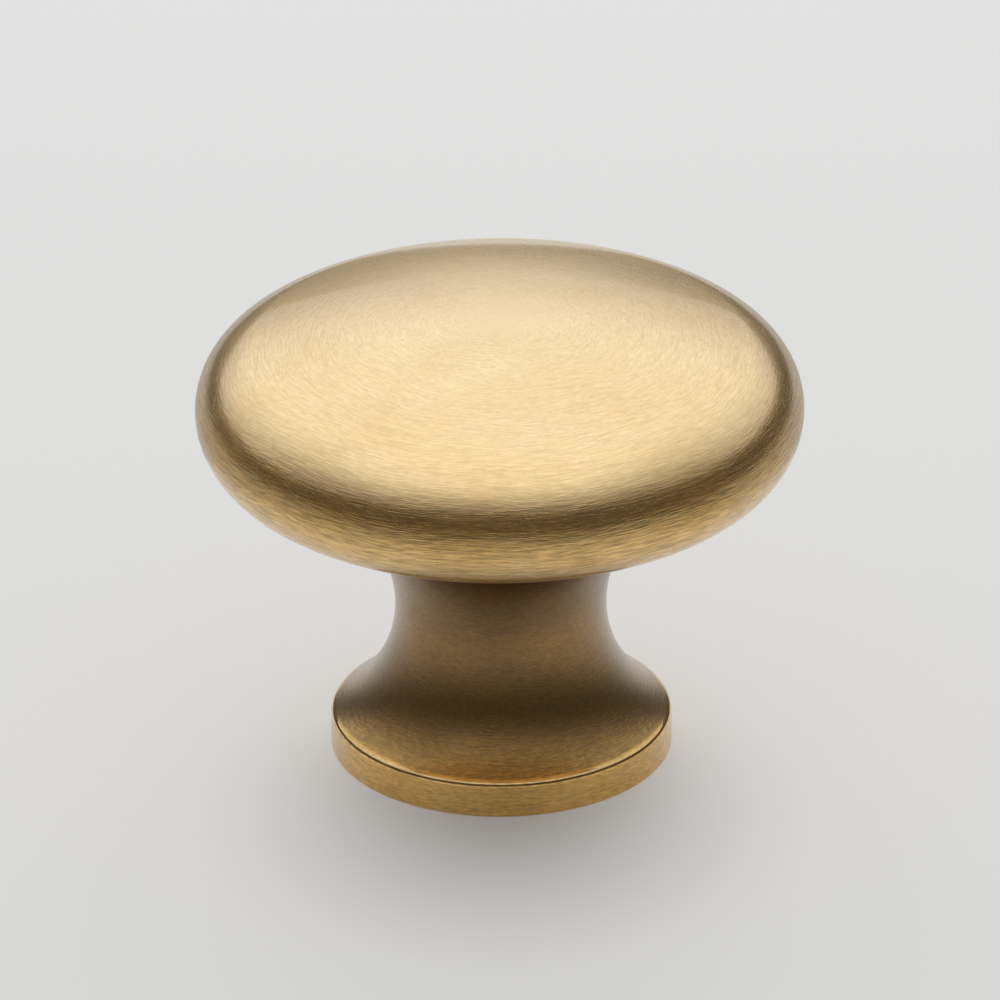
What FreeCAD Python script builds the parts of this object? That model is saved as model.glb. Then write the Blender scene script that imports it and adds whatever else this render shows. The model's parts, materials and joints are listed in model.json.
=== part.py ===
"""Round cabinet knob, turned from one bar of brass, with a tapped hole for its fixing screw.

All lengths are in millimetres and all angles in degrees.
The knob stands on its back face: the origin is the middle of that face,
and +Z runs up the knob's axis, from the cabinet door towards the hand.
"""
import FreeCAD, Part

import math
import os

# Head: a shallow dome that turns into a round edge
head_diameter = 38.0
widest_height = 23.25        # from the back face to the head's widest circle
dome_radius = 55.5
shoulder_radius = 6.0        # between the dome and the round edge
upper_edge_radius = 3.94     # the round edge above the widest circle
upper_edge_sweep = 54.0      # how far the upper edge turns before the shoulder starts
lower_edge_radius = 4.27     # the round edge below the widest circle

# Neck and foot
neck_diameter = 13.25        # at its narrowest
neck_height = 9.7            # from the back face to the narrowest place
foot_diameter = 21.4
rim_height = 2.25            # the foot's upright rim, up to where the flare would meet it in a sharp corner
lip_rounding = 0.4
back_edge_rounding = 0.15

# Tapped hole for an M4 screw, at the tap drill's size
hole_diameter = 3.3
hole_depth = 13.0            # from the back face to the end of the full diameter
drill_tip_angle = 118.0      # across the cone at the bottom of the hole
countersink_diameter = 4.4
countersink_angle = 90.0     # across the cone

AXIS = FreeCAD.Vector(0, 0, 1)
BACK_CENTRE = FreeCAD.Vector(0, 0, 0)


class Circle:
    """One circle of the outline, given by its middle's distance from the axis and height."""

    def __init__(self, distance, height, radius):
        self.distance = distance
        self.height = height
        self.radius = radius

    def point(self, angle):
        """The point at an angle counted from straight outwards, positive towards the top."""
        turn = math.radians(angle)
        distance = self.distance + self.radius * math.cos(turn)
        return FreeCAD.Vector(distance, 0, self.height + self.radius * math.sin(turn))

    def angle_to(self, other):
        """The direction of another circle's middle, in degrees."""
        return math.degrees(math.atan2(other.height - self.height, other.distance - self.distance))

    def arc(self, start, end):
        """The arc between two angles."""
        return Part.Arc(self.point(start), self.point((start + end) / 2), self.point(end)).toShape()


def head_circles():
    """The dome, the shoulder and the round edge, each touching the next."""
    head_radius = head_diameter / 2
    upper = Circle(head_radius - upper_edge_radius, widest_height, upper_edge_radius)
    lower = Circle(head_radius - lower_edge_radius, widest_height, lower_edge_radius)

    step = upper.radius - shoulder_radius
    sweep = math.radians(upper_edge_sweep)
    shoulder = Circle(
        upper.distance + step * math.cos(sweep),
        upper.height + step * math.sin(sweep),
        shoulder_radius,
    )

    reach = dome_radius - shoulder_radius
    dome_drop = math.sqrt(reach ** 2 - shoulder.distance ** 2)
    dome = Circle(0, shoulder.height - dome_drop, dome_radius)
    return dome, shoulder, upper, lower


def cove_circle(lower):
    """The cove under the head, which touches the round edge and the neck's narrowest place."""
    across = lower.distance - neck_diameter / 2
    rise = lower.height - neck_height
    radius = (across ** 2 + rise ** 2 - lower.radius ** 2) / (2 * (across + lower.radius))
    return Circle(neck_diameter / 2 + radius, neck_height, radius)


def flare_circle():
    """The flare, which leaves the neck's narrowest place upright and runs out to the rim's corner."""
    across = (foot_diameter - neck_diameter) / 2
    drop = neck_height - rim_height
    radius = (across ** 2 + drop ** 2) / (2 * across)
    return Circle(neck_diameter / 2 + radius, neck_height, radius)


def lip_circle(flare):
    """The lip's rounding, which touches the flare and the upright rim."""
    distance = foot_diameter / 2 - lip_rounding
    drop = math.sqrt((flare.radius + lip_rounding) ** 2 - (flare.distance - distance) ** 2)
    return Circle(distance, flare.height - drop, lip_rounding)


def line(start, end):
    return Part.LineSegment(start, end).toShape()


def outline():
    """Half of the knob's section, from the crown down the outside to the back face and up the axis."""
    dome, shoulder, upper, lower = head_circles()
    cove = cove_circle(lower)
    flare = flare_circle()
    lip = lip_circle(flare)
    back_edge = Circle(foot_diameter / 2 - back_edge_rounding, back_edge_rounding, back_edge_rounding)

    dome_edge = dome.angle_to(shoulder)
    underside = lower.angle_to(cove)
    lip_top = lip.angle_to(flare)
    return Part.Wire([
        dome.arc(90, dome_edge),
        shoulder.arc(dome_edge, upper_edge_sweep),
        upper.arc(upper_edge_sweep, 0),
        lower.arc(0, underside),
        cove.arc(180 + underside, 180),
        flare.arc(180, 180 + lip_top),
        lip.arc(lip_top, 0),
        line(lip.point(0), back_edge.point(0)),
        back_edge.arc(0, -90),
        line(back_edge.point(-90), BACK_CENTRE),
        line(BACK_CENTRE, dome.point(90)),
    ])


def turned_body():
    return Part.Face(outline()).revolve(BACK_CENTRE, AXIS, 360)


def cone_height(base_radius, top_radius, angle):
    """The height of a cone or of its frustum, from the angle across it."""
    return (base_radius - top_radius) / math.tan(math.radians(angle / 2))


def tapped_hole():
    """What the drill and the countersink take out, from the back face up."""
    hole_radius = hole_diameter / 2
    mouth_radius = countersink_diameter / 2
    tip_height = cone_height(hole_radius, 0, drill_tip_angle)
    mouth_depth = cone_height(mouth_radius, hole_radius, countersink_angle)
    drill = Part.makeCylinder(hole_radius, hole_depth, BACK_CENTRE, AXIS)
    tip = Part.makeCone(hole_radius, 0, tip_height, FreeCAD.Vector(0, 0, hole_depth), AXIS)
    countersink = Part.makeCone(mouth_radius, hole_radius, mouth_depth, BACK_CENTRE, AXIS)
    return drill.fuse([tip, countersink])


def knob():
    return turned_body().cut(tapped_hole())


os.makedirs("parts", exist_ok=True)
knob().exportStep("parts/knob.step")
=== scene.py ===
"""Satin brass cabinet knob: turned body with a threaded hole, finishes, floor, light and camera."""
import json
import math

import bmesh
import bpy
from mathutils import Matrix, Vector


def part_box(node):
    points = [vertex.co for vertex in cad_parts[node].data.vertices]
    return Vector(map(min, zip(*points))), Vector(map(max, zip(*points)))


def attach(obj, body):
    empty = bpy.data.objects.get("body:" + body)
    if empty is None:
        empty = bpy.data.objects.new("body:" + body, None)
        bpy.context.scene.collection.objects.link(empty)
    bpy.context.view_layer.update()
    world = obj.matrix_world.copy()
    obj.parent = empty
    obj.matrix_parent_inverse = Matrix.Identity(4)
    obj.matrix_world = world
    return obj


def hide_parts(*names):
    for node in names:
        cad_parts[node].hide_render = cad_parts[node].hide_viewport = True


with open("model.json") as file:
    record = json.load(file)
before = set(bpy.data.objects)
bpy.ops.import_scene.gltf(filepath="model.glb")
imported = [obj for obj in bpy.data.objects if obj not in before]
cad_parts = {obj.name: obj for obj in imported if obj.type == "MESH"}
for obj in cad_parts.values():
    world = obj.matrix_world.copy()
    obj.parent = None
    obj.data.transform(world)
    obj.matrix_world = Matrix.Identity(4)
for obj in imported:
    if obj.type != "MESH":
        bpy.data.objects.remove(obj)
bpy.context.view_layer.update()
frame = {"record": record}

MM = 0.001

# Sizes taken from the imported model, in millimetres
node_low, node_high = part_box("knob")
HEAD_RADIUS = (node_high.x - node_low.x) / 2 / MM
screw_hole = next(mount for mount in frame["record"]["mounts"] if mount["name"] == "screw_hole")
HOLE_RADIUS = screw_hole["dims"]["r_mm"]

# Sizes of the turned outline, in millimetres
WIDEST_HEIGHT = 23.25
DOME_RADIUS = 55.5
SHOULDER_RADIUS = 6.0
UPPER_EDGE_RADIUS = 3.94
UPPER_EDGE_SWEEP = 54.0      # degrees
LOWER_EDGE_RADIUS = 4.27
NECK_RADIUS = 6.625
NECK_HEIGHT = 9.7
FOOT_RADIUS = 10.7
RIM_HEIGHT = 2.25
LIP_ROUNDING = 0.4
BACK_EDGE = 0.15

# The hole and its M4 thread, in millimetres
HOLE_DEPTH = 13.0
COUNTERSINK_RADIUS = 2.2
DRILL_TIP_ANGLE = 118.0      # degrees
THREAD_PITCH = 0.7
THREAD_DEPTH = 0.36
THREAD_RUN_OUT = 1.6         # how far from the hole's end the thread dies away
FLANK_START, FLANK_END = 0.05, 0.45    # of a pitch, from the crest's middle towards the root's

# The mesh: its divisions, and its steps along the outline,
# which are degrees on arcs and millimetres on straight stretches
SEGMENTS = 144               # round the knob
ROWS_A_PITCH = 16            # along the thread
DOME_STEP = 0.8
SHOULDER_STEP = 2.5
EDGE_STEP = 3
FLARE_STEP = 2.5
FLARE_END_STEP = 1
LIP_STEP = 6
RIM_STEP = 0.3
BACK_EDGE_STEP = 15
BACK_STEP = 0.4
COUNTERSINK_STEP = 0.1
TIP_STEP = 0.3
MERGE_DISTANCE = 1e-7        # metres
SHARP_ANGLE = 35             # degrees

# The surfaces that the turner leaves: lacquered head, neck and foot aged and darkened further by painted shade
# under the head, back face, tapped hole
BRUSHED, AGED_AND_SHADED, FACED, THREADED = 0, 1, 2, 3

# How dark the colour is, from 0 on the pale crown over clean gold and brown to 1 deep under the head. It is
# partly the patina in the neck's hollow and partly painted light and shade: deeper where the knob lies in
# shade, deepest in the painted shade under the head, and paler on the lip and on the head's underside, where
# they show bright light.
CROWN = 0.0
DOME_EDGE = 0.1
WIDEST = 0.34
UNDERSIDE = 0.2
UNDER_HEAD = 1.0
NECK = 0.78
FLARE = 0.82
FOOT = 0.62
LIP = 0.2
RIM = 0.4
GOLD_AT, BROWN_AT = 0.4, 0.7

# Where the finish changes, as parts of the cove's and the flare's turn, counted from the neck. The cove
# darkens into the painted shade under the head.
COVE_DARKENS, COVE_DARKEST = 0.9, 0.5
FLARE_DARKEST, FLARE_BRIGHTENS = 0.5, 0.965

# How far the edges are polished, from 0 for brushed to 1 for bright
FLARE_POLISH = 0.3           # where it brightens towards the lip
LIP_POLISH = 1.0
RIM_TOP_POLISH, RIM_FOOT_POLISH = 0.4, 0.2


class Circle:
    """One circle of the outline: its middle's distance from the axis and height, and its radius."""

    def __init__(self, distance, height, radius):
        self.distance = distance
        self.height = height
        self.radius = radius

    def point(self, angle):
        """The point at an angle counted from straight outwards, positive towards the top."""
        turn = math.radians(angle)
        return self.distance + self.radius * math.cos(turn), self.height + self.radius * math.sin(turn)

    def angle_to(self, other):
        """The direction of another circle's middle, in degrees."""
        return math.degrees(math.atan2(other.height - self.height, other.distance - self.distance))

    def arc(self, start, end, step):
        """Points from one angle to another, about a step apart in degrees."""
        count = max(2, round(abs(end - start) / step))
        return [self.point(start + (end - start) * i / count) for i in range(count + 1)]


def straight(start, end, step):
    """Points from start to end, about a step apart in millimetres."""
    count = max(1, round(math.dist(start, end) / step))
    return [(start[0] + (end[0] - start[0]) * i / count, start[1] + (end[1] - start[1]) * i / count)
            for i in range(count + 1)]


def head_circles():
    """The dome, the shoulder and the round edge above and below the widest circle, each touching the next."""
    upper = Circle(HEAD_RADIUS - UPPER_EDGE_RADIUS, WIDEST_HEIGHT, UPPER_EDGE_RADIUS)
    lower = Circle(HEAD_RADIUS - LOWER_EDGE_RADIUS, WIDEST_HEIGHT, LOWER_EDGE_RADIUS)
    step = UPPER_EDGE_RADIUS - SHOULDER_RADIUS
    sweep = math.radians(UPPER_EDGE_SWEEP)
    shoulder = Circle(upper.distance + step * math.cos(sweep), upper.height + step * math.sin(sweep),
                      SHOULDER_RADIUS)
    reach = DOME_RADIUS - SHOULDER_RADIUS
    dome = Circle(0, shoulder.height - math.sqrt(reach ** 2 - shoulder.distance ** 2), DOME_RADIUS)
    return dome, shoulder, upper, lower


def touching_cove(lower):
    """The cove under the head, which touches the round edge and the neck's narrowest place."""
    across = lower.distance - NECK_RADIUS
    rise = lower.height - NECK_HEIGHT
    radius = (across ** 2 + rise ** 2 - lower.radius ** 2) / (2 * (across + lower.radius))
    return Circle(NECK_RADIUS + radius, NECK_HEIGHT, radius)


def foot_circles():
    """The flare from the neck to the rim, and the lip's rounding between flare and rim."""
    across = FOOT_RADIUS - NECK_RADIUS
    drop = NECK_HEIGHT - RIM_HEIGHT
    radius = (across ** 2 + drop ** 2) / (2 * across)
    flare = Circle(NECK_RADIUS + radius, NECK_HEIGHT, radius)
    lip_distance = FOOT_RADIUS - LIP_ROUNDING
    lip_drop = math.sqrt((radius + LIP_ROUNDING) ** 2 - (flare.distance - lip_distance) ** 2)
    return flare, Circle(lip_distance, NECK_HEIGHT - lip_drop, LIP_ROUNDING)


def outline_runs():
    """The outline from the crown to the drill's tip, as runs.

    Each run has its points, its surface, its darkness at both ends and its polish at both ends.
    """
    dome, shoulder, upper, lower = head_circles()
    cove = touching_cove(lower)
    flare, lip = foot_circles()
    back_edge = Circle(FOOT_RADIUS - BACK_EDGE, BACK_EDGE, BACK_EDGE)

    dome_edge = dome.angle_to(shoulder)
    underside = lower.angle_to(cove)
    lip_top = lip.angle_to(flare)
    cove_darkens, cove_darkest = 180 + underside * COVE_DARKENS, 180 + underside * COVE_DARKEST
    flare_darkest, flare_brightens = 180 + lip_top * FLARE_DARKEST, 180 + lip_top * FLARE_BRIGHTENS
    mouth = (COUNTERSINK_RADIUS, 0)
    hole_start = (HOLE_RADIUS, COUNTERSINK_RADIUS - HOLE_RADIUS)
    hole_end = (HOLE_RADIUS, HOLE_DEPTH)
    drill_tip = (0, HOLE_DEPTH + HOLE_RADIUS / math.tan(math.radians(DRILL_TIP_ANGLE / 2)))
    return [
        (dome.arc(90, dome_edge, DOME_STEP), BRUSHED, CROWN, DOME_EDGE, 0, 0),
        (shoulder.arc(dome_edge, UPPER_EDGE_SWEEP, SHOULDER_STEP), BRUSHED, DOME_EDGE, DOME_EDGE, 0, 0),
        (upper.arc(UPPER_EDGE_SWEEP, 0, EDGE_STEP), BRUSHED, DOME_EDGE, WIDEST, 0, 0),
        (lower.arc(0, underside, EDGE_STEP), BRUSHED, WIDEST, UNDERSIDE, 0, 0),
        # The cove darkens into painted shade under the head, over the neck's patina
        (cove.arc(180 + underside, cove_darkens, EDGE_STEP), BRUSHED, UNDERSIDE, UNDERSIDE, 0, 0),
        (cove.arc(cove_darkens, cove_darkest, EDGE_STEP), BRUSHED, UNDERSIDE, UNDER_HEAD, 0, 0),
        (cove.arc(cove_darkest, 180, EDGE_STEP), AGED_AND_SHADED, UNDER_HEAD, NECK, 0, 0),
        (flare.arc(180, flare_darkest, FLARE_STEP), AGED_AND_SHADED, NECK, FLARE, 0, 0),
        (flare.arc(flare_darkest, flare_brightens, FLARE_STEP), AGED_AND_SHADED, FLARE, FOOT, 0, FLARE_POLISH),
        (flare.arc(flare_brightens, 180 + lip_top, FLARE_END_STEP), AGED_AND_SHADED, FOOT, LIP,
         FLARE_POLISH, LIP_POLISH),
        (lip.arc(lip_top, 0, LIP_STEP), BRUSHED, LIP, RIM, LIP_POLISH, LIP_POLISH),
        (straight(lip.point(0), back_edge.point(0), RIM_STEP), AGED_AND_SHADED, RIM, RIM,
         RIM_TOP_POLISH, RIM_FOOT_POLISH),
        (back_edge.arc(0, -90, BACK_EDGE_STEP), AGED_AND_SHADED, RIM, RIM, RIM_FOOT_POLISH, 0),
        (straight(back_edge.point(-90), mouth, BACK_STEP), FACED, RIM, RIM, 0, 0),
        (straight(mouth, hole_start, COUNTERSINK_STEP), FACED, RIM, RIM, 0, 0),
        (straight(hole_start, hole_end, THREAD_PITCH / ROWS_A_PITCH), THREADED, RIM, RIM, 0, 0),
        (straight(hole_end, drill_tip, TIP_STEP), THREADED, RIM, RIM, 0, 0),
    ]


def outline_mesh():
    """The outline as a line of points in the X-Z plane, with what each point carries."""
    rows = []
    travelled = 0.0
    for points, surface, dark_start, dark_end, polish_start, polish_end in outline_runs():
        for i, point in enumerate(points):
            part = i / (len(points) - 1)
            if i:
                travelled += math.dist(point, points[i - 1])
            dark = dark_start + (dark_end - dark_start) * part
            polish = polish_start + (polish_end - polish_start) * part
            if i or not rows:
                rows.append((point, surface, travelled, dark, polish))
    mesh = bpy.data.meshes.new("outline")
    mesh.from_pydata([(row[0][0] * MM, 0, row[0][1] * MM) for row in rows], [], [])
    for column, (name, kind) in enumerate(
            (("surface", "INT"), ("along", "FLOAT"), ("darkness", "FLOAT"), ("polish", "FLOAT")), 1):
        mesh.attributes.new(name, kind, "POINT").data.foreach_set("value", [row[column] for row in rows])
    return mesh


def add(tree, kind, inputs=None, **settings):
    """A node with its settings and its inputs, each a value or another node's socket."""
    node = tree.nodes.new(kind)
    for name, value in settings.items():
        setattr(node, name, value)
    for name, value in (inputs or {}).items():
        if isinstance(value, bpy.types.NodeSocket):
            tree.links.new(value, node.inputs[name])
        else:
            node.inputs[name].default_value = value
    return node


def calc(tree, operation, *values):
    """A Math node's result."""
    return add(tree, "ShaderNodeMath", dict(enumerate(values)), operation=operation).outputs[0]


def vector(tree, operation, *values):
    """A Vector Math node's result."""
    node = add(tree, "ShaderNodeVectorMath", dict(enumerate(values)), operation=operation)
    return node.outputs["Value" if operation in ("LENGTH", "DOT_PRODUCT") else "Vector"]


def scaled(tree, value, scale):
    """A vector or a colour times a number, which may be another node's socket."""
    return add(tree, "ShaderNodeVectorMath", {0: value, "Scale": scale}, operation="SCALE").outputs["Vector"]


def between(tree, value, low, high, start=0.0, end=1.0):
    """The value moved from the range low to high into the range start to end, smoothly and held at both."""
    node = add(tree, "ShaderNodeMapRange", {"Value": value, "From Min": low, "From Max": high,
                                            "To Min": start, "To Max": end}, interpolation_type="SMOOTHSTEP")
    return node.outputs[0]


def total(tree, *values):
    """The sum of several sockets."""
    result = values[0]
    for value in values[1:]:
        result = calc(tree, "ADD", result, value)
    return result


def new_group(name, kind, inputs, outputs):
    """A node group with named inputs and outputs, each given as its socket's type."""
    tree = bpy.data.node_groups.new(name, kind)
    for label, (socket, value) in inputs.items():
        item = tree.interface.new_socket(label, in_out="INPUT", socket_type="NodeSocket" + socket)
        if value is not None:
            item.default_value = value
    for label, socket in outputs.items():
        tree.interface.new_socket(label, in_out="OUTPUT", socket_type="NodeSocket" + socket)
    return tree, tree.nodes.new("NodeGroupInput").outputs, tree.nodes.new("NodeGroupOutput")


def turned_body_nodes():
    """Geometry Nodes that turn an outline round Z and cut a thread into its hole."""
    tree, given, result = new_group("Turned body", "GeometryNodeTree", {
        "Outline": ("Geometry", None), "Segments": ("Int", 64), "Rows": ("Int", 10),
        "Thread pitch": ("Float", 1.0), "Thread depth": ("Float", 0.1), "Thread start": ("Float", 0.0),
        "Thread end": ("Float", 1.0), "Run out": ("Float", 1.0),
        "Brushed": ("Material", None), "Aged and shaded": ("Material", None), "Faced": ("Material", None),
        "Threaded": ("Material", None),
    }, {"Body": "Geometry"})

    # The grid's points come column by column, and half a point keeps the division clear of rounding
    columns = calc(tree, "ADD", given["Segments"], 1)
    grid = add(tree, "GeometryNodeMeshGrid", {"Vertices X": columns, "Vertices Y": given["Rows"]})
    index = add(tree, "GeometryNodeInputIndex").outputs[0]
    row = calc(tree, "FLOORED_MODULO", index, given["Rows"])
    column = calc(tree, "FLOOR", calc(tree, "DIVIDE", calc(tree, "ADD", index, 0.5), given["Rows"]))
    turn = calc(tree, "MULTIPLY", calc(tree, "DIVIDE", column, given["Segments"]), math.tau)

    def carried(kind, name):
        """What the outline's point of this row carries."""
        value = add(tree, "GeometryNodeInputNamedAttribute", {"Name": name}, data_type=kind).outputs[0]
        source = {"Geometry": given["Outline"], "Value": value, "Index": row}
        return add(tree, "GeometryNodeSampleIndex", source, data_type=kind).outputs[0]

    place = add(tree, "ShaderNodeSeparateXYZ", {0: carried("FLOAT_VECTOR", "position")}).outputs
    surface = carried("INT", "surface")

    # The thread's flanks rise between a flat crest and a flat root, and it fades in and out at its ends
    phase = calc(tree, "SUBTRACT", calc(tree, "DIVIDE", place["Z"], given["Thread pitch"]),
                 calc(tree, "DIVIDE", turn, math.tau))
    wave = between(tree, calc(tree, "PINGPONG", phase, 0.5), FLANK_START, FLANK_END)
    full = calc(tree, "ADD", given["Thread start"], given["Thread pitch"])
    dying = calc(tree, "SUBTRACT", given["Thread end"], given["Run out"])
    fade_in = between(tree, place["Z"], given["Thread start"], full)
    fade_out = between(tree, place["Z"], dying, given["Thread end"], 1.0, 0.0)
    cut = calc(tree, "MULTIPLY", calc(tree, "MULTIPLY", wave, given["Thread depth"]),
               calc(tree, "MULTIPLY", fade_in, fade_out))
    threaded = calc(tree, "COMPARE", surface, THREADED, 0.1)
    distance = calc(tree, "MULTIPLY_ADD", cut, threaded, place["X"])

    around = add(tree, "ShaderNodeCombineXYZ", {
        "X": calc(tree, "MULTIPLY", distance, calc(tree, "COSINE", turn)),
        "Y": calc(tree, "MULTIPLY", distance, calc(tree, "SINE", turn)), "Z": place["Z"]}).outputs[0]
    bent = {"Geometry": grid.outputs["Mesh"], "Position": around}
    body = add(tree, "GeometryNodeSetPosition", bent).outputs[0]
    for kind, name in (("INT", "surface"), ("FLOAT", "along"), ("FLOAT", "darkness"), ("FLOAT", "polish")):
        stored = {"Geometry": body, "Name": name, "Value": carried(kind, name)}
        body = add(tree, "GeometryNodeStoreNamedAttribute", stored, data_type=kind, domain="POINT").outputs[0]
    body = add(tree, "GeometryNodeMergeByDistance", {"Geometry": body, "Distance": MERGE_DISTANCE}).outputs[0]
    body = add(tree, "GeometryNodeRealizeInstances", {"Geometry": body}).outputs[0]

    # A face where two surfaces meet has the middle of their numbers, and it takes the higher surface
    kept = add(tree, "GeometryNodeInputNamedAttribute", {"Name": "surface"}, data_type="FLOAT").outputs[0]
    for number, name in ((BRUSHED, "Brushed"), (AGED_AND_SHADED, "Aged and shaded"), (FACED, "Faced"), (THREADED, "Threaded")):
        chosen = calc(tree, "GREATER_THAN", kept, number - 0.6)
        dressed = {"Geometry": body, "Selection": chosen, "Material": given[name]}
        body = add(tree, "GeometryNodeSetMaterial", dressed).outputs[0]
    tree.links.new(body, result.inputs["Body"])
    return tree


LINE_LOW, LINE_HIGH = 0.38, 0.62       # the values of the noise between which a hairline has its slopes
LINES_START, LINES_FULL = 0.3, 3.5     # millimetres from the axis, between which the hairlines fade in
SEED_STEP = 17.3
SHORTEST, LONGER = 0.2, 0.35           # half a stray scratch in parts of its Length, and what chance adds
NOISE_LOW, NOISE_HIGH = 0.3, 0.7       # nearly all of a noise texture lies between these values


def hairlines_nodes():
    """Fine lines that the abrasive leaves on a turning workpiece, round the axis and swaying a little."""
    tree, given, result = new_group("Hairlines", "ShaderNodeTree", {
        "Length": ("Float", 1.5), "Width": ("Float", 0.08), "Sway": ("Float", 0.5), "Bends": ("Float", 5.0),
        "Seed": ("Float", 0.0),
    }, {"Height": "Float"})
    place = add(tree, "ShaderNodeTexCoord").outputs["Object"]
    outwards = vector(tree, "MULTIPLY", place, (1, 1, 0))
    along = add(tree, "ShaderNodeAttribute", attribute_name="along").outputs["Fac"]
    parts = add(tree, "ShaderNodeSeparateXYZ", {0: vector(tree, "NORMALIZE", outwards)}).outputs
    angle = calc(tree, "ARCTAN2", parts["Y"], parts["X"])
    bend = calc(tree, "SINE", calc(tree, "MULTIPLY_ADD", angle, given["Bends"], given["Seed"]))
    across = calc(tree, "DIVIDE", calc(tree, "MULTIPLY_ADD", bend, given["Sway"], along),
                  calc(tree, "MULTIPLY", given["Width"], 2.0))
    round_scale = calc(tree, "DIVIDE", HEAD_RADIUS, given["Length"])
    lines = add(tree, "ShaderNodeCombineXYZ", {
        "X": calc(tree, "MULTIPLY", parts["X"], round_scale),
        "Y": calc(tree, "MULTIPLY", parts["Y"], round_scale),
        "Z": calc(tree, "MULTIPLY_ADD", given["Seed"], SEED_STEP, across)}).outputs[0]
    grain = add(tree, "ShaderNodeTexNoise", {"Vector": lines, "Scale": 1.0, "Detail": 1.0, "Roughness": 0.5})

    # On the axis all the lines would meet in one point, so they fade out there
    distance = vector(tree, "LENGTH", outwards)
    clear = between(tree, distance, LINES_START * MM, LINES_FULL * MM, 0.0, 0.5)
    height = add(tree, "ShaderNodeMapRange", {
        "Value": grain.outputs["Fac"], "From Min": LINE_LOW, "From Max": LINE_HIGH,
        "To Min": calc(tree, "SUBTRACT", 0.5, clear), "To Max": calc(tree, "ADD", 0.5, clear)}).outputs[0]
    tree.links.new(height, result.inputs["Height"])
    return tree


def stray_scratches_nodes():
    """Single short scratches in the cells of a loose grid, which lie along the turning to within a spread."""
    tree, given, result = new_group("Stray scratches", "ShaderNodeTree", {
        "Spacing": ("Float", 1.5), "Length": ("Float", 1.0), "Width": ("Float", 0.05),
        "Spread": ("Float", 0.5), "Seed": ("Float", 0.0),
    }, {"Depth": "Float"})
    place = scaled(tree, add(tree, "ShaderNodeTexCoord").outputs["Object"], 1 / MM)
    seed = given["Seed"]
    shift = add(tree, "ShaderNodeCombineXYZ", {"X": seed, "Y": seed, "Z": seed}).outputs[0]
    cells = vector(tree, "ADD", vector(tree, "DIVIDE", place, given["Spacing"]), shift)
    voronoi = add(tree, "ShaderNodeTexVoronoi", {"Vector": cells, "Scale": 1.0}, feature="F1").outputs
    offset = vector(tree, "MULTIPLY", vector(tree, "SUBTRACT", cells, voronoi["Position"]), given["Spacing"])
    chance = add(tree, "ShaderNodeSeparateColor", {0: voronoi["Color"]}).outputs

    normal = add(tree, "ShaderNodeNewGeometry").outputs["Normal"]
    tangent = vector(tree, "NORMALIZE", vector(tree, "CROSS_PRODUCT", (0, 0, 1), place))
    down = vector(tree, "CROSS_PRODUCT", normal, tangent)
    forward = vector(tree, "DOT_PRODUCT", offset, tangent)
    sideways = vector(tree, "DOT_PRODUCT", offset, down)

    # Chance turns each scratch by up to the spread, in radians, and gives its length and depth
    lean = calc(tree, "MULTIPLY", calc(tree, "SUBTRACT", chance[0], 0.5), given["Spread"])
    lean = calc(tree, "MULTIPLY", lean, 2.0)
    cosine, sine = calc(tree, "COSINE", lean), calc(tree, "SINE", lean)
    on_line = calc(tree, "ADD", calc(tree, "MULTIPLY", forward, cosine),
                   calc(tree, "MULTIPLY", sideways, sine))
    off_line = calc(tree, "SUBTRACT", calc(tree, "MULTIPLY", sideways, cosine),
                    calc(tree, "MULTIPLY", forward, sine))
    half = calc(tree, "MULTIPLY", given["Length"], calc(tree, "MULTIPLY_ADD", chance[1], LONGER, SHORTEST))
    inside = between(tree, calc(tree, "ABSOLUTE", on_line), calc(tree, "MULTIPLY", half, 0.5), half, 1.0, 0.0)
    groove = between(tree, calc(tree, "ABSOLUTE", off_line), 0.0, given["Width"], 1.0, 0.0)
    depth = calc(tree, "MULTIPLY", calc(tree, "MULTIPLY", inside, groove), chance[2])
    tree.links.new(depth, result.inputs["Depth"])
    return tree


def use(tree, group, **inputs):
    """A node group placed in a tree, with its own values."""
    node = tree.nodes.new("ShaderNodeGroup")
    node.node_tree = group
    for name, value in inputs.items():
        node.inputs[name].default_value = value
    return node.outputs[0]


def noise(tree, scale, detail):
    """A noise texture over the knob, with its scale given for a metre."""
    place = add(tree, "ShaderNodeTexCoord").outputs["Object"]
    return add(tree, "ShaderNodeTexNoise", {"Vector": place, "Scale": scale, "Detail": detail}).outputs["Fac"]


def spread(tree, noisy, start, end):
    """A noisy value spread over the range start to end."""
    return between(tree, noisy, NOISE_LOW, NOISE_HIGH, start, end)


def mixed(tree, part, first, second):
    """A colour that goes from the first to the second as the part goes from 0 to 1."""
    node = add(tree, "ShaderNodeMix", {"Factor": part}, data_type="RGBA")
    node.inputs[6].default_value = (*first, 1)
    node.inputs[7].default_value = (*second, 1)
    return node.outputs[2]


PALE_GOLD = (0.93, 0.715, 0.40)
GOLD = (0.72, 0.435, 0.12)
BROWN = (0.33, 0.19, 0.045)
DEEP_BROWN = (0.12, 0.07, 0.03)
RAW_BRASS = (0.90, 0.70, 0.40)
BRUSHING_PULL = 0.6          # how strongly the brushing draws a reflection out across its lines
QUARTER_TURN = 0.25          # turns that pull from along the lines to across them

# The satin finish
CLOUDING = 0.03              # how far clouds and specks each shift its darkness
LONG_LINES = 0.8             # how strong its long lines are beside the fine and the crossing ones
STRAY_SHINE = 0.12           # how much paler a stray scratch is
STRAY_DEPTH = 0.3            # how deep a stray scratch is beside the relief of the lines
RELIEF = 0.016               # millimetres
UNEVEN_GLOSS = 0.02          # what clouds and lines each change of its roughness
POLISH_GLOSS = 0.23          # what full polish takes off its roughness
BARE_FROM, BARE_AT = 0.85, 1.0    # the darkness over which the lacquer thins out under the head


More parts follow.
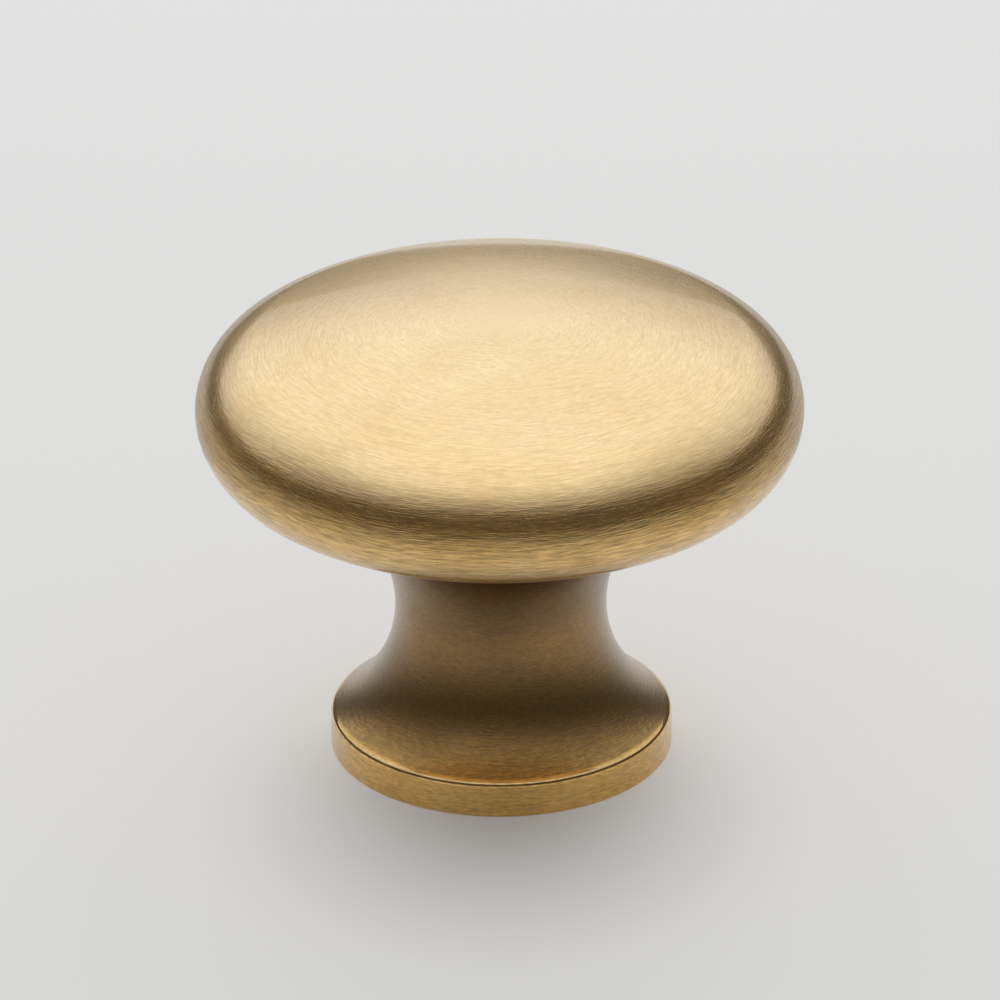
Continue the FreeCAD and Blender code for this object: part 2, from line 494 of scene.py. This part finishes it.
def new_metal(name, coat, coat_roughness):
    """A material with its tree and its shader, set for metal with a coat of lacquer."""
    material = bpy.data.materials.new(name)
    material.use_nodes = True
    shader = material.node_tree.nodes["Principled BSDF"]
    shader.inputs["Metallic"].default_value = 1.0
    shader.inputs["Coat Weight"].default_value = coat
    shader.inputs["Coat Roughness"].default_value = coat_roughness
    shader.inputs["Anisotropic"].default_value = BRUSHING_PULL
    shader.inputs["Anisotropic Rotation"].default_value = QUARTER_TURN
    tangent = add(material.node_tree, "ShaderNodeTangent", direction_type="RADIAL", axis="Z")
    material.node_tree.links.new(tangent.outputs[0], shader.inputs["Tangent"])
    return material, material.node_tree, shader


def bumped(tree, shader, height, depth):
    """Feeds a height of 0 to 1, worth a depth in millimetres, to the shader's normal."""
    bump = add(tree, "ShaderNodeBump", {"Height": height, "Distance": depth * MM, "Strength": 1.0})
    tree.links.new(bump.outputs[0], shader.inputs["Normal"])


def satin_brass(name, hairlines, scratches, coat, coat_roughness, dull, stretch, contrast, marks):
    """The satin finish, brushed round the axis: pale on the crown, gold on the edges, brown in the neck, the
    gold and brown partly patina and partly painted shade.

    Dull is its roughness and stretch lengthens its lines. Contrast gives two darknesses and the
    strength of the lines at each, and marks is the strength of the stray scratches.
    """
    material, tree, shader = new_metal(name, coat, coat_roughness)
    clouds = noise(tree, 180.0, 3.0)
    specks = noise(tree, 2600.0, 2.0)
    fine = use(tree, hairlines, Length=1.5 * stretch, Width=0.046, Sway=0.25, Bends=5, Seed=1.0)
    crossing = use(tree, hairlines, Length=1.1 * stretch, Width=0.05, Sway=0.3, Bends=9, Seed=4.0)
    long = use(tree, hairlines, Length=4.5 * stretch, Width=0.055, Sway=0.15, Bends=3, Seed=7.0)
    strays = [use(tree, scratches, Spacing=1.5, Length=1.6, Width=0.035, Spread=0.35, Seed=2.0),
              use(tree, scratches, Spacing=1.3, Length=1.4, Width=0.03, Spread=0.8, Seed=5.0),
              use(tree, scratches, Spacing=1.7, Length=1.7, Width=0.03, Spread=1.57, Seed=9.0)]
    stray = calc(tree, "MULTIPLY", total(tree, *strays), marks)

    # The brushing lies evenly above and below 0, because each kind of line has a mean height of a half
    mean_height = (2 + LONG_LINES) / 2
    brushing = total(tree, fine, crossing, calc(tree, "MULTIPLY", long, LONG_LINES), -mean_height)

    darkness = add(tree, "ShaderNodeAttribute", attribute_name="darkness").outputs["Fac"]
    polish = add(tree, "ShaderNodeAttribute", attribute_name="polish").outputs["Fac"]
    # The darkness paints shade as well as patina: the gold deepens where the knob is shaded, and the deep
    # brown under the head is painted shade
    shade = total(tree, darkness, spread(tree, clouds, -CLOUDING, CLOUDING),
                  spread(tree, specks, -CLOUDING, CLOUDING))
    ramp = add(tree, "ShaderNodeValToRGB", {"Fac": shade})
    ramp.color_ramp.elements[0].color = (*PALE_GOLD, 1)
    ramp.color_ramp.elements[1].color = (*DEEP_BROWN, 1)
    ramp.color_ramp.elements.new(GOLD_AT).color = (*GOLD, 1)
    ramp.color_ramp.elements.new(BROWN_AT).color = (*BROWN, 1)
    lines = calc(tree, "MULTIPLY", brushing, between(tree, darkness, *contrast))
    value = total(tree, lines, calc(tree, "MULTIPLY", stray, STRAY_SHINE), 1.0)
    tree.links.new(scaled(tree, ramp.outputs["Color"], value), shader.inputs["Base Color"])
    tree.links.new(between(tree, darkness, BARE_FROM, BARE_AT, coat, 0.0), shader.inputs["Coat Weight"])

    rough = total(tree, spread(tree, clouds, dull - UNEVEN_GLOSS, dull + UNEVEN_GLOSS),
                  calc(tree, "MULTIPLY", brushing, -UNEVEN_GLOSS),
                  calc(tree, "MULTIPLY", polish, -POLISH_GLOSS))
    tree.links.new(rough, shader.inputs["Roughness"])
    relief = calc(tree, "SUBTRACT", lines, calc(tree, "MULTIPLY", stray, STRAY_DEPTH))
    relief = calc(tree, "MULTIPLY", relief, calc(tree, "SUBTRACT", 1.0, polish))
    bumped(tree, shader, relief, RELIEF)
    return material


def faced_brass(hairlines, scratches):
    """The back face as the lathe leaves it: fine rings from the tool, and some scratches."""
    material, tree, shader = new_metal("faced_brass", 0.3, 0.2)
    clouds = noise(tree, 220.0, 4.0)
    rings = use(tree, hairlines, Length=60.0, Width=0.06, Sway=0.0, Bends=0, Seed=3.0)
    fine = use(tree, hairlines, Length=4.0, Width=0.04, Sway=0.0, Bends=0, Seed=6.0)
    stray = use(tree, scratches, Spacing=2.2, Length=2.4, Width=0.04, Spread=1.57, Seed=3.0)
    shade = total(tree, spread(tree, clouds, 0.0, 0.35), spread(tree, rings, 0.0, 0.2))
    tree.links.new(mixed(tree, shade, RAW_BRASS, GOLD), shader.inputs["Base Color"])
    tree.links.new(spread(tree, clouds, 0.22, 0.3), shader.inputs["Roughness"])
    height = total(tree, rings, calc(tree, "MULTIPLY", fine, 0.4), calc(tree, "MULTIPLY", stray, -0.7))
    bumped(tree, shader, height, 0.006)
    return material


def cut_thread(hairlines):
    """The tapped hole: bright raw brass with the tap's marks, a little dull from cutting oil."""
    material, tree, shader = new_metal("cut_thread", 0.0, 0.2)
    dulling = noise(tree, 700.0, 4.0)
    marks = use(tree, hairlines, Length=9.0, Width=0.03, Sway=0.0, Bends=0, Seed=8.0)
    dulled = between(tree, dulling, 0.4, 0.7)
    tree.links.new(mixed(tree, dulled, RAW_BRASS, GOLD), shader.inputs["Base Color"])
    tree.links.new(spread(tree, dulling, 0.25, 0.42), shader.inputs["Roughness"])
    bumped(tree, shader, marks, 0.004)
    return material


def turned_knob():
    """The whole knob: one turned body with the thread in its hole."""
    hairlines = hairlines_nodes()
    scratches = stray_scratches_nodes()
    mesh = outline_mesh()
    source = bpy.data.objects.new("knob_outline", mesh)
    bpy.context.scene.collection.objects.link(source)
    modifier = source.modifiers.new("Turned body", "NODES")
    modifier.node_group = turned_body_nodes()
    values = {
        "Segments": SEGMENTS, "Rows": len(mesh.vertices), "Thread pitch": THREAD_PITCH * MM,
        "Thread depth": THREAD_DEPTH * MM, "Thread start": (COUNTERSINK_RADIUS - HOLE_RADIUS) * MM,
        "Thread end": HOLE_DEPTH * MM, "Run out": THREAD_RUN_OUT * MM,
        "Brushed": satin_brass("brushed_brass", hairlines, scratches, coat=0.7, coat_roughness=0.06,
                               dull=0.28, stretch=1.0, contrast=(DOME_EDGE / 2, WIDEST, 0.08, 0.3), marks=1.0),
        # Its brown is the neck's patina, deepened by painted shade under the head
        "Aged and shaded": satin_brass("aged_and_shaded_brass", hairlines, scratches, coat=1.0, coat_roughness=0.35, dull=0.3,
                            stretch=0.8, contrast=(FOOT, NECK, 0.18, 0.12), marks=0.4),
        "Faced": faced_brass(hairlines, scratches), "Threaded": cut_thread(hairlines),
    }
    for item in modifier.node_group.interface.items_tree:
        if item.name in values:
            modifier[item.identifier] = values[item.name]
    bpy.context.view_layer.update()
    turned = bpy.data.meshes.new_from_object(source.evaluated_get(bpy.context.evaluated_depsgraph_get()))
    bpy.data.objects.remove(source)

    work = bmesh.new()
    work.from_mesh(turned)
    bmesh.ops.recalc_face_normals(work, faces=work.faces)
    work.to_mesh(turned)
    work.free()
    turned.polygons.foreach_set("use_smooth", [True] * len(turned.polygons))
    turned.set_sharp_from_angle(angle=math.radians(SHARP_ANGLE))
    knob = bpy.data.objects.new("turned_knob", turned)
    bpy.context.scene.collection.objects.link(knob)
    return knob


knob = turned_knob()
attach(knob, "root")
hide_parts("knob")


# Floor, in metres
FLOOR_REACH = 1.7
FLOOR_COLOUR = (0.80, 0.80, 0.795)
FLOOR_LIFT = 0.54            # how much of its own paleness the floor shows to the camera and to metal
PAINTED_SHADE_FORWARD = 0.008        # how far in front of the knob's axis the floor's painted soft shade has its middle
PAINTED_SHADE_STRETCH = 1.2          # how much longer than broad the painted shade is
PAINTED_SHADE_START, PAINTED_SHADE_END = -0.010, 0.026    # the lift grows between these distances from the painted shade's middle


def seen_directly(tree):
    """1 for rays from the camera, off metal and through glass, and 0 for light that fills the room."""
    path = add(tree, "ShaderNodeLightPath").outputs
    seen = calc(tree, "MAXIMUM", path["Is Camera Ray"], path["Is Glossy Ray"])
    return calc(tree, "MAXIMUM", seen, path["Is Transmission Ray"])


def matt(name, colour, glow):
    """A matt material with its tree and its shader, which also glows a little in a colour."""
    material = bpy.data.materials.new(name)
    material.use_nodes = True
    shader = material.node_tree.nodes["Principled BSDF"]
    shader.inputs["Base Color"].default_value = (*colour, 1)
    shader.inputs["Specular IOR Level"].default_value = 0.0
    shader.inputs["Emission Color"].default_value = (*glow, 1)
    return material, material.node_tree, shader


def pale_floor():
    """The floor, whose glow is painted a little weaker in a soft shade round the knob, over its real shadow.
    """
    mesh = bpy.data.meshes.new("floor")
    reach = FLOOR_REACH
    mesh.from_pydata([(-reach, -reach, 0), (reach, -reach, 0), (reach, reach, 0), (-reach, reach, 0)], [],
                     [(0, 1, 2, 3)])
    floor = bpy.data.objects.new("floor", mesh)
    bpy.context.scene.collection.objects.link(floor)
    paper, tree, shader = matt("pale_paper", FLOOR_COLOUR, FLOOR_COLOUR)
    shader.inputs["Roughness"].default_value = 0.9
    place = add(tree, "ShaderNodeTexCoord").outputs["Object"]
    forward = vector(tree, "ADD", place, (0, PAINTED_SHADE_FORWARD, 0))
    distance = vector(tree, "LENGTH", vector(tree, "MULTIPLY", forward, (PAINTED_SHADE_STRETCH, 1, 1)))
    # Painted shadow: the glow that camera and metal see is weaker in a soft patch round the knob
    paleness = between(tree, distance, PAINTED_SHADE_START, PAINTED_SHADE_END, 0.0, FLOOR_LIFT)
    lift = calc(tree, "MULTIPLY", seen_directly(tree), paleness)
    tree.links.new(lift, shader.inputs["Emission Strength"])
    mesh.materials.append(paper)


# Dark collar round the table, in metres
COLLAR_POINTS = 96
COLLAR_LENGTH = 0.226        # from its middle to the front and to the back
COLLAR_WIDTH = 0.12          # from its middle to each side
COLLAR_BACK = 0.16           # how far behind the knob its middle is
COLLAR_FOOT_HEIGHT = 0.024   # where it has become quite solid
COLLAR_FRONT_TOP, COLLAR_BACK_TOP = 31.3, 12.2    # degrees, seen from the head's edge
COLLAR_RIGHT_RISE = 4.5      # degrees more on the right
COLLAR_FALL = 1.2            # the higher, the sooner its top falls from the front to the sides
COLLAR_COLOUR = (0.075, 0.06, 0.04)
COLLAR_CLEAR_BACK = 12       # the higher, the narrower its clear stretch straight behind the knob
CLEAR_CURVE = 1.5            # the higher, the more solid its half clear stretches
APRON_START, APRON_END = 0.042, 0.060
APRON_START_SOLID, APRON_SOLID = 0.15, 0.3
APRON_HEIGHT = 0.0005


def collar_top(x, y):
    """The height of the collar's top over a point. Its angle seen from the head's edge falls to the back."""
    reach = math.hypot(x, y)
    frontness = (1 - y / reach) / 2
    angle = COLLAR_BACK_TOP + (COLLAR_FRONT_TOP - COLLAR_BACK_TOP) * frontness ** COLLAR_FALL
    angle += COLLAR_RIGHT_RISE * max(0, x / reach)
    return WIDEST_HEIGHT * MM + (reach - HEAD_RADIUS * MM) * math.tan(math.radians(angle))


def dark_collar():
    """A dark screen round the table with a thin apron, seen only in reflections.

    It is clear straight behind the knob.
    """
    count = COLLAR_POINTS
    rings = [[], [], [], [], []]
    for i in range(count):
        turn = math.tau * i / count
        shut = 1 - ((1 - math.cos(turn)) / 2) ** COLLAR_CLEAR_BACK
        x, y = COLLAR_WIDTH * math.sin(turn), COLLAR_BACK - COLLAR_LENGTH * math.cos(turn)
        reach = math.hypot(x, y)
        stations = (
            (APRON_START / reach, APRON_HEIGHT, APRON_START_SOLID * shut),
            (APRON_END / reach, APRON_HEIGHT, APRON_SOLID * shut),
            (1, APRON_HEIGHT, APRON_SOLID * shut),
            (1, COLLAR_FOOT_HEIGHT, 1),
            (1, collar_top(x, y), shut),
        )
        for ring, (part, height, solid) in zip(rings, stations):
            ring.append(((x * part, y * part, height), 1 - solid))
    points = [point for ring in rings for point, clear in ring]
    clearness = [clear for ring in rings for point, clear in ring]
    faces = [(row * count + i, row * count + (i + 1) % count, (row + 1) * count + (i + 1) % count,
              (row + 1) * count + i) for row in range(len(rings) - 1) for i in range(count)]
    mesh = bpy.data.meshes.new("dark_collar")
    mesh.from_pydata(points, [], faces)
    mesh.attributes.new("clearness", "FLOAT", "POINT").data.foreach_set("value", clearness)
    collar = bpy.data.objects.new("dark_collar", mesh)
    bpy.context.scene.collection.objects.link(collar)
    felt, tree, shader = matt("dark_felt", (0, 0, 0), COLLAR_COLOUR)
    shader.inputs["Emission Strength"].default_value = 1.0
    clear = add(tree, "ShaderNodeAttribute", attribute_name="clearness").outputs["Fac"]
    solid = calc(tree, "SUBTRACT", 1.0, calc(tree, "POWER", clear, CLEAR_CURVE))
    tree.links.new(solid, shader.inputs["Alpha"])
    mesh.materials.append(felt)
    collar.visible_camera = False
    collar.visible_diffuse = False
    collar.visible_shadow = False
    collar.visible_transmission = False


def softbox(name, elevation, distance, width, depth, radiance):
    """An area lamp that faces the knob. Its elevation counts from the front horizon over the top."""
    lamp = bpy.data.lights.new(name, "AREA")
    lamp.shape = "RECTANGLE"
    lamp.size = width
    lamp.size_y = depth
    lamp.energy = radiance * math.pi * width * depth
    box = bpy.data.objects.new(name, lamp)
    lift = math.radians(elevation)
    towards = Vector((0, -math.cos(lift), math.sin(lift)))
    box.location = towards * distance
    box.rotation_mode = "QUATERNION"
    box.rotation_quaternion = towards.to_track_quat("Z", "Y")
    box.visible_camera = False
    box.visible_glossy = False
    bpy.context.scene.collection.objects.link(box)


# The room's light: strengths, and the parts of a direction along X and Z or towards the glow's middle
HORIZON = 0.745
GLOW = 1.07
FILL = 0.25
GLOW_LEAN = 40.0             # degrees from overhead towards the back
GLOW_EDGE, GLOW_CORE = -0.5, 0.85    # towards its middle, between which it grows to its full strength
GLOW_SHIFT = 0.03            # to the left
GLOW_STRAIGHT, GLOW_ASIDE = 0.2, 1.0    # to either side, between which it falls to half
GLOW_BOTTOM, GLOW_TOP = 0.25, 0.5       # upwards, between which it takes over from the horizon


def pale_room():
    """The world: pale at the horizon and a wide soft glow overhead where seen, a weak fill elsewhere."""
    world = bpy.data.worlds.new("pale_room")
    bpy.context.scene.world = world
    world.use_nodes = True
    world.cycles.sampling_method = "NONE"
    tree = world.node_tree
    direction = add(tree, "ShaderNodeTexCoord").outputs["Generated"]
    parts = add(tree, "ShaderNodeSeparateXYZ", {0: direction}).outputs
    lean = math.radians(GLOW_LEAN)
    nearness = vector(tree, "DOT_PRODUCT", direction, (0, math.sin(lean), math.cos(lean)))
    aside = calc(tree, "ABSOLUTE", calc(tree, "ADD", parts["X"], GLOW_SHIFT))
    sides = between(tree, aside, GLOW_STRAIGHT, GLOW_ASIDE, GLOW, GLOW / 2)
    glow = calc(tree, "MULTIPLY", between(tree, nearness, GLOW_EDGE, GLOW_CORE), sides)
    overhead = between(tree, parts["Z"], GLOW_BOTTOM, GLOW_TOP)
    shown = add(tree, "ShaderNodeMapRange", {"Value": overhead, "To Min": HORIZON, "To Max": glow}).outputs[0]
    strength = add(tree, "ShaderNodeMapRange", {
        "Value": seen_directly(tree), "To Min": FILL, "To Max": shown})
    tree.nodes["Background"].inputs["Color"].default_value = (1, 1, 1, 1)
    tree.links.new(strength.outputs[0], tree.nodes["Background"].inputs["Strength"])


pale_floor()
dark_collar()
pale_room()
softbox("back_softbox", elevation=150, distance=0.5, width=0.5, depth=0.5, radiance=0.9)

# Camera: angles in degrees, distances in metres
CAMERA_ELEVATION = 26.82
CAMERA_DISTANCE = 1.2
LOOK_AT = Vector((-0.013, 0, 16.794)) * MM
CAMERA_ROLL = -0.331
CLIP_END = 10
PIXELS_PER_MM = 15.999
IMAGE_SIDE = 1000            # pixels
SENSOR = 36                  # millimetres


def photo_camera():
    """A long lens from the front and above, at the photograph's angle and scale."""
    data = bpy.data.cameras.new("camera")
    data.sensor_width = SENSOR
    data.lens = SENSOR * PIXELS_PER_MM * CAMERA_DISTANCE / MM / IMAGE_SIDE
    data.clip_end = CLIP_END
    camera = bpy.data.objects.new("camera", data)
    bpy.context.scene.collection.objects.link(camera)
    lift = math.radians(CAMERA_ELEVATION)
    back = Vector((0, -math.cos(lift), math.sin(lift)))
    camera.location = LOOK_AT + back * CAMERA_DISTANCE
    camera.rotation_mode = "QUATERNION"
    roll = Matrix.Rotation(math.radians(CAMERA_ROLL), 3, back)
    camera.rotation_quaternion = (roll @ back.to_track_quat("Z", "Y").to_matrix()).to_quaternion()
    bpy.context.scene.camera = camera


photo_camera()
bpy.context.scene.view_settings.view_transform = "Standard"
